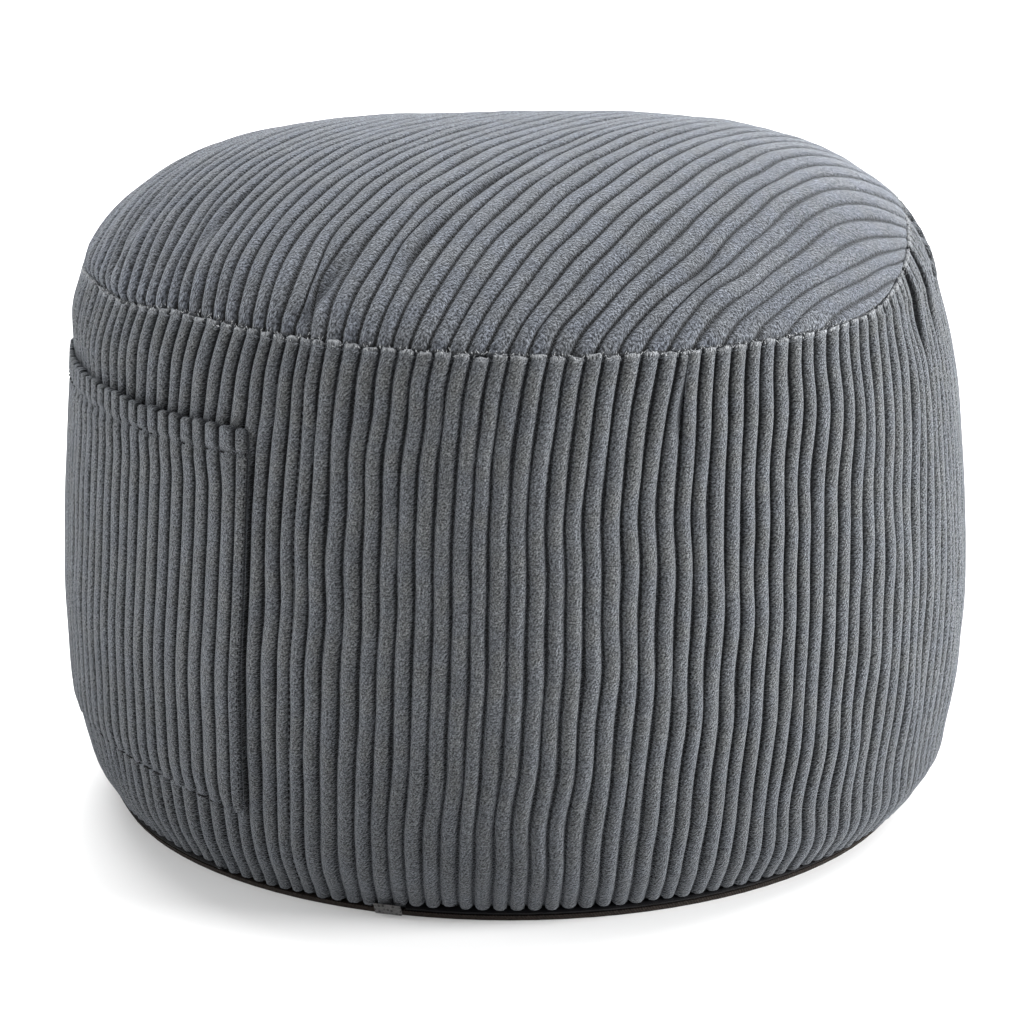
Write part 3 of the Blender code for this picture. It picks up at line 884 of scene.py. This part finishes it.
def build_pocket(material):
    """The patch pocket: a sheet of wales with a turned hem, its rows running up outside and down inside."""
    place, share, number = pocket_wales()
    chance = default_rng(8)
    low = pocket_bottom(place) + 0.0030 * end_round(share) + each_wale(chance, number, 0.0005)
    top = hem_top(place) - 0.0024 * end_round(share) + each_wale(chance, number, 0.0004)
    height = low + (top - low) * closer_at_ends(POCKET_ROWS, 0.4)
    rise = wale_rise(share, 2.6) + np.zeros_like(height)
    over_line = height - (hem_top(place) - HEM_HEIGHT)
    in_hem = ease(over_line / HEM_LINE_WIDTH)
    sewn = HEM_GROOVE_DEPTH * bell(over_line / HEM_GROOVE_REACH)
    plump = np.clip(1.0 + SIDE_PLUMPNESS * ripple(41, number * 0.4, height / 0.07), 0.75, 1.25)
    to_edge = np.minimum(POCKET_FRONT - place, place - POCKET_BACK) * BODY_RADIUS
    flatten = (0.55 + 0.45 * ease(to_edge / 0.006)) * (0.75 + 0.25 * ease((height - low) / 0.006 + 0.1))
    thinner = ease((POCKET_THINNER_FROM - place) / (POCKET_THINNER_FROM - POCKET_THINNEST_AT))
    base = POCKET_CLOTH * (1.0 - 0.95 * thinner) + HEM_EXTRA * in_hem
    wales = POCKET_WALE_DEPTH * (1.0 - 0.25 * thinner) * rise * plump - sewn * rise
    out = PIECE_GAP + mouth_parting(place, height) + flatten * (base + wales)
    angle = pocket_place(place, height)
    outer = ring_points(angle, side_radius(height) + out, height)

    kept, crest, lit = (column(part) for part in zip(*HEM_FOLD_ROWS))
    over_out = out[-1] * kept + PIECE_GAP * (1.0 - kept)
    over_height = top + HEM_CREST * rise[-1] * crest
    over = ring_points(angle[-1] + np.zeros_like(over_out), side_radius(over_height) + over_out, over_height)
    inner_height = low + (top - low) * column(np.linspace(1.0, 0.0, 9))
    inner_radius = side_radius(inner_height) + PIECE_GAP + mouth_parting(place, inner_height)
    inner = ring_points(pocket_place(place, inner_height), inner_radius, inner_height)

    points = np.concatenate([outer, over, inner])
    rows, columns = points.shape[:2]
    # Painted shade: darker in the stitched groove under the hem, a little over the hem, along the low edge,
    # on the hem's fold rows, inside the pocket and along its front edge
    shown = rise * (1.0 - 0.18 * in_hem) * (1.0 - 300.0 * sewn)
    shown *= 1.0 - 0.92 * bell((height - low) / 0.0023)
    rises = np.concatenate([shown, rise[-1] * lit, np.zeros((len(inner), columns))])
    rises[:, -1] = 0.0
    lengths = np.concatenate([height, over_height, inner_height])
    cloth = flat_cloth(place * POCKET_FLAT_RADIUS, lengths)
    faces = grid_faces(rows, columns, closed=False)
    last = (rows - 1) * columns
    faces += [[last + j, last + j + 1, j + 1, j] for j in range(columns - 1)]
    faces.append([i * columns for i in range(rows)])
    faces.append([i * columns + columns - 1 for i in range(rows)][::-1])
    piece = make_piece("pocket_corduroy", points, faces, material, rises, cloth)
    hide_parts("pocket")


def threads(path, radius):
    """Short threads between pairs of points: each a rod that dips in at both ends."""
    ring = np.linspace(0.0, tau, THREAD_SIDES, endpoint=False)
    shell = grid_faces(len(THREAD_SECTIONS), THREAD_SIDES, closed=True)
    shell.append(list(range(THREAD_SIDES))[::-1])
    shell.append([(len(THREAD_SECTIONS) - 1) * THREAD_SIDES + j for j in range(THREAD_SIDES)])
    points, faces = [], []
    for start, end, outward in path:
        along = (end - start) / np.linalg.norm(end - start)
        side = np.cross(along, outward)
        faces += [[len(points) + corner for corner in face] for face in shell]
        for share, size, dip in THREAD_SECTIONS:
            middle = start + (end - start) * share - dip * radius * outward
            for turn in ring:
                points.append(middle + radius * size * (cos(turn) * outward + sin(turn) * side))
    return np.array(points), faces


def stitch(start, end, out):
    """A thread between two places on the side, each an angle and a height, and the way that it faces."""
    angles, heights = np.array([start, end]).T
    first, last = ring_points(angles, side_radius(heights) + out, heights)
    return first, last, np.array([sin(start[0]), -cos(start[0]), 0.0])


def build_stitches(material):
    """Threads of the join seam and of the pocket's front edge, hem and low edge."""
    path = []
    step = STITCH_LENGTH + STITCH_GAP
    for height in np.arange(0.012, SEAM_HEIGHT - 0.004, step):
        angle = JOIN_ANGLE + side_twist(JOIN_ANGLE, height)
        path.append(stitch((angle, height), (angle, height + STITCH_LENGTH), JOIN_THREAD_OUT))
    for height in np.arange(POCKET_BOTTOM - POCKET_CORNER_DROP + 0.004, POCKET_TOP - 0.002, step):
        angle = pocket_place(POCKET_FRONT, height) - EDGE_THREAD_INSET / BODY_RADIUS
        path.append(stitch((angle, height), (angle, height + STITCH_LENGTH), EDGE_THREAD_OUT))
    pitch = (POCKET_FRONT - POCKET_BACK) / POCKET_WALES
    for middle in POCKET_BACK + pitch * (np.arange(POCKET_WALES - 1) + 0.5):
        hem_line, low_line = hem_top(middle) - HEM_HEIGHT, pocket_bottom(middle) - LOW_THREAD_DROP
        for height, (reach, out) in ((hem_line, HEM_THREAD), (low_line, LOW_THREAD)):
            start, end = ((pocket_place(middle + pitch * side, height), height) for side in (-reach, reach))
            path.append(stitch(start, end, out))
    piece = make_piece("sewing_thread", *threads(path, THREAD_RADIUS), material)


def build_cut_fibres(material):
    """Loose fibres of the side's cut edge, which lie every way along the seam."""
    chance = default_rng(17)
    path = []
    for angle in np.linspace(0.0, tau, FIBRES, endpoint=False):
        angle = angle + chance.normal() * 0.004
        outward = np.array([sin(angle), -cos(angle), 0.0])
        around = np.array([cos(angle), sin(angle), 0.0])
        inset = read_round(SEAM_INSET, angle) + CREST_INSET + 0.0006 * chance.normal()
        drop = read_round(SEAM_DROP, angle)
        radius = side_radius(SEAM_HEIGHT - drop) - inset
        height = SEAM_HEIGHT - drop + CREST_RISE - 0.0002
        start = ring_points(angle, radius, height) + [0.0, 0.0, above_rim(angle, radius)]
        way = around * chance.normal() + outward * chance.normal() * 0.7
        way = way + [0.0, 0.0, 0.5 + abs(chance.normal())]
        end = start + way / np.linalg.norm(way) * FIBRE_LENGTH * (0.6 + 0.8 * chance.random())
        path.append((start, end, outward))
    piece = make_piece("cut_fibres", *threads(path, FIBRE_RADIUS), material)


def feed(tree, entry, value):
    """Give an input its value or the output that feeds it."""
    if isinstance(value, bpy.types.NodeSocket):
        tree.links.new(value, entry)
    elif entry.type == "RGBA":
        entry.default_value = (*value, 1.0)
    else:
        entry.default_value = value


def node(tree, kind, **settings):
    """Add a shader node with its settings: names of inputs are inputs, others are properties."""
    made = tree.nodes.new(kind)
    for key, value in settings.items():
        if key in made.inputs:
            feed(tree, made.inputs[key], value)
        else:
            setattr(made, key, value)
    return made


def new_material(name, **values):
    """A material, its nodes and its shader, with values for the shader's inputs."""
    material = bpy.data.materials.new(name)
    material.use_nodes = True
    tree = material.node_tree
    shader = tree.nodes["Principled BSDF"]
    for key, value in values.items():
        feed(tree, shader.inputs[key], value)
    return material, tree, shader


def noise(tree, vector, scale, detail=2.0, stretch=(1.0, 1.0, 1.0), turn=0.0):
    """A noise texture, drawn out by the stretch along its turned first axis."""
    mapping = node(tree, "ShaderNodeMapping", vector_type="TEXTURE", Vector=vector, Scale=stretch)
    mapping.inputs["Rotation"].default_value = (0.0, 0.0, turn)
    vector = mapping.outputs["Vector"]
    texture = node(tree, "ShaderNodeTexNoise", Vector=vector, Scale=scale, Detail=detail, Roughness=0.6)
    return texture.outputs["Fac"]


def remap(tree, *values):
    """Carry a value from a range to another, eased at both ends: value, low, high, new low, new high."""
    made = node(tree, "ShaderNodeMapRange", interpolation_type="SMOOTHSTEP")
    for entry, value in zip(made.inputs, values):
        feed(tree, entry, value)
    return made.outputs["Result"]


def calculate(tree, *values, operation="MULTIPLY"):
    made = node(tree, "ShaderNodeMath", operation=operation)
    for entry, value in zip(made.inputs, values):
        feed(tree, entry, value)
    return made.outputs["Value"]


def blend_colours(tree, factor, first, second, mode="MIX"):
    """Mix two colours, each given or an output."""
    made = node(tree, "ShaderNodeMix", data_type="RGBA", blend_type=mode, Factor=factor)
    feed(tree, made.inputs[6], first)
    feed(tree, made.inputs[7], second)
    return made.outputs[2]


def shaded(tree, colour, value):
    """A colour made lighter or darker by a value."""
    grey = node(tree, "ShaderNodeCombineColor", Red=value, Green=value, Blue=value)
    return blend_colours(tree, 1.0, colour, grey.outputs["Color"], mode="MULTIPLY")


def add_bump(tree, shader, height, strength, distance):
    bump = node(tree, "ShaderNodeBump", Strength=strength, Distance=distance, Height=height)
    tree.links.new(bump.outputs["Normal"], shader.inputs["Normal"])


def corduroy(name, colour, groove, grain, foot_shade=1.0):
    """Cotton pile on wales: dark ground and painted shade in the grooves, short slanting streaks, cloudy nap
    and soft sheen.

    A foot shade under 1 paints shade on the cloth, darker towards the ground.
    """
    material, tree, shader = new_material(name, **PILE)
    place = node(tree, "ShaderNodeAttribute", attribute_name="cloth").outputs["Vector"]
    wale = node(tree, "ShaderNodeAttribute", attribute_name="wale").outputs["Fac"]
    frayed = node(tree, "ShaderNodeAttribute", attribute_name="frayed").outputs["Fac"]
    speckle = noise(tree, place, grain, detail=2.0)
    streak = noise(tree, place, grain, detail=1.0, stretch=(3.0, 1.0, 1.0), turn=radians(60.0))
    cloud = noise(tree, place, 55.0, detail=3.0)
    tint = noise(tree, place, 60.0, detail=1.0)

    pile = remap(tree, speckle, 0.34, 0.66, 0.22, 1.78)
    strokes = remap(tree, streak, 0.35, 0.65, 0.62, 1.38)
    nap = remap(tree, cloud, 0.30, 0.70, 0.88, 1.12)
    texture = calculate(tree, pile, strokes)
    light = calculate(tree, texture, nap)
    cool = tuple(part * share for part, share in zip(colour, (0.97, 1.0, 1.04)))
    warm = tuple(part * share for part, share in zip(colour, (1.01, 1.01, 0.97)))
    ground = blend_colours(tree, remap(tree, tint, 0.35, 0.65, 0.0, 1.0), warm, cool)
    # Painted shade, darker towards the ground
    if foot_shade < 1.0:
        parts = node(tree, "ShaderNodeSeparateXYZ", Vector=place)
        painted_foot_shade = remap(tree, parts.outputs["Y"], 0.0, FOOT_SHADE_HEIGHT, foot_shade, 1.0)
        light = calculate(tree, light, painted_foot_shade)
    lit = shaded(tree, ground, light)
    wornness = calculate(tree, frayed, remap(tree, speckle, 0.38, 0.58, 0.15, 1.0))
    ends = blend_colours(tree, wornness, lit, tuple(min(1.0, FRAYED_PALER * part) for part in colour))
    # Painted shade: where the "wale" value is low the groove colour is mixed in, in the grooves and wherever
    # shade is painted
    height = remap(tree, wale, 0.08, 0.94, 0.0, 1.0)
    tree.links.new(blend_colours(tree, height, groove, ends), shader.inputs["Base Color"])

    add_bump(tree, shader, texture, 0.75, 0.0006)
    return material


def round_place(tree):
    """The object's own coordinates as distance round the body and height."""
    place = node(tree, "ShaderNodeTexCoord").outputs["Object"]
    parts = node(tree, "ShaderNodeSeparateXYZ", Vector=place).outputs
    turned = calculate(tree, parts["X"], parts["Y"], operation="ARCTAN2")
    distance = calculate(tree, turned, FOOT_RADIUS)
    return node(tree, "ShaderNodeCombineXYZ", X=distance, Y=parts["Z"]).outputs["Vector"]


def twill(name, colour, roughness, rib, depth):
    """Close-woven cloth with slanting ribs of a given width."""
    material, tree, shader = new_material(name, **{"Roughness": roughness, "Specular IOR Level": 0.12})
    place = round_place(tree)
    slant = node(tree, "ShaderNodeMapping", Vector=place, Rotation=(0.0, 0.0, radians(35.0)))
    vector = slant.outputs["Vector"]
    wave = node(tree, "ShaderNodeTexWave", Vector=vector, Scale=0.31 / rib, Distortion=0.6)
    uneven = remap(tree, noise(tree, place, 700.0), 0.3, 0.7, 1.0 - depth, 1.0 + depth)
    ribs = remap(tree, wave.outputs["Fac"], 0.0, 1.0, 1.0 - depth, 1.0 + depth)
    light = calculate(tree, uneven, ribs)
    tree.links.new(shaded(tree, colour, light), shader.inputs["Base Color"])
    add_bump(tree, shader, light, 0.5, 0.0004)
    return material


def dotted_web(name, colour):
    """The pull tab's webbing: pale grey with rows of small dark gaps."""
    material, tree, shader = new_material(name, Roughness=0.85)
    place = node(tree, "ShaderNodeTexCoord").outputs["Object"]
    dots = node(tree, "ShaderNodeTexVoronoi", Vector=place, Scale=480.0, Randomness=0.35)
    gap = remap(tree, dots.outputs["Distance"], 0.25, 0.45, 0.0, 1.0)
    weave = remap(tree, noise(tree, place, 1200.0), 0.3, 0.7, 0.7, 1.3)
    dark = tuple(0.15 * part for part in colour)
    lit = shaded(tree, colour, weave)
    tree.links.new(blend_colours(tree, gap, dark, lit), shader.inputs["Base Color"])
    return material


def dress_frame_nodes(nodes):
    """Better materials for the frame's nodes that stay."""
    materials = {
        "base_panel": twill("base twill", BASE_BROWN, 0.8, 0.0012, 0.45),
        "zip": twill("zip tape weave", ZIP_BLACK_AND_SHADE, 0.55, 0.0008, 0.35),
        "zip_tab": dotted_web("tab webbing", TAB_GREY),
    }
    for name, material in materials.items():
        mesh = nodes[name].data
        mesh.materials.clear()
        mesh.materials.append(material)


def build_floor():
    mesh = bpy.data.meshes.new("studio_floor")
    mesh.from_pydata([(-30, -30, 0), (30, -30, 0), (30, 30, 0), (-30, 30, 0)], [], [(0, 1, 2, 3)])
    mesh.materials.append(new_material("studio white", **FLOOR)[0])
    floor = add_object("studio_floor", mesh)
    floor.location.z = -0.0002


def add_light(kind, name, place, power, size):
    """A soft light pointed at the body."""
    data = bpy.data.lights.new(name, kind)
    data.energy = power
    if kind == "SUN":
        data.angle = size
    else:
        data.shape = "DISK"
        data.size = size
    light = add_object(name, data)
    light.location = place
    light.rotation_euler = (Vector(LIGHT_TARGET) - Vector(place)).to_track_quat("-Z", "Y").to_euler()


def build_studio():
    """A pale room of soft light, strongest from above and behind and from the right."""
    world = bpy.data.worlds.new("studio")
    world.use_nodes = True
    background = world.node_tree.nodes["Background"]
    background.inputs["Color"].default_value = (1.0, 1.0, 1.0, 1.0)
    background.inputs["Strength"].default_value = WORLD_STRENGTH
    bpy.context.scene.world = world
    for light in LIGHTS:
        add_light(*light)


def build_camera():
    data = bpy.data.cameras.new("photo_camera")
    data.sensor_width = SENSOR_WIDTH
    data.lens = FOCAL_PIXELS / PICTURE_SIZE * SENSOR_WIDTH
    data.shift_x = (PICTURE_SIZE / 2 - AXIS_PIXEL) / PICTURE_SIZE
    camera = add_object("photo_camera", data)
    camera.location = (0.0, -CAMERA_DISTANCE, CAMERA_HEIGHT)
    camera.rotation_euler = (pi / 2 - CAMERA_PITCH, 0.0, 0.0)
    bpy.context.scene.camera = camera


def write_sizes():
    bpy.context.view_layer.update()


def main():
    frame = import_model()
    side_cloth = corduroy("side corduroy pile", SIDE_GREY, SIDE_GROOVE, SIDE_GRAIN, FOOT_SHADE)
    top_cloth = corduroy("top corduroy pile", TOP_GREY, TOP_GROOVE, TOP_GRAIN)
    build_side_panel(side_cloth)
    build_top_panel(top_cloth)
    build_pocket(side_cloth)
    build_stitches(twill("waxed thread", THREAD_BLACK, 0.6, 0.0006, 0.4))
    build_cut_fibres(twill("loose fibres", FIBRE_GREY, 0.8, 0.0008, 0.5))
    dress_frame_nodes(frame["nodes"])
    build_floor()
    build_studio()
    build_camera()
    bpy.context.scene.view_settings.view_transform = "Standard"
    write_sizes()


main()
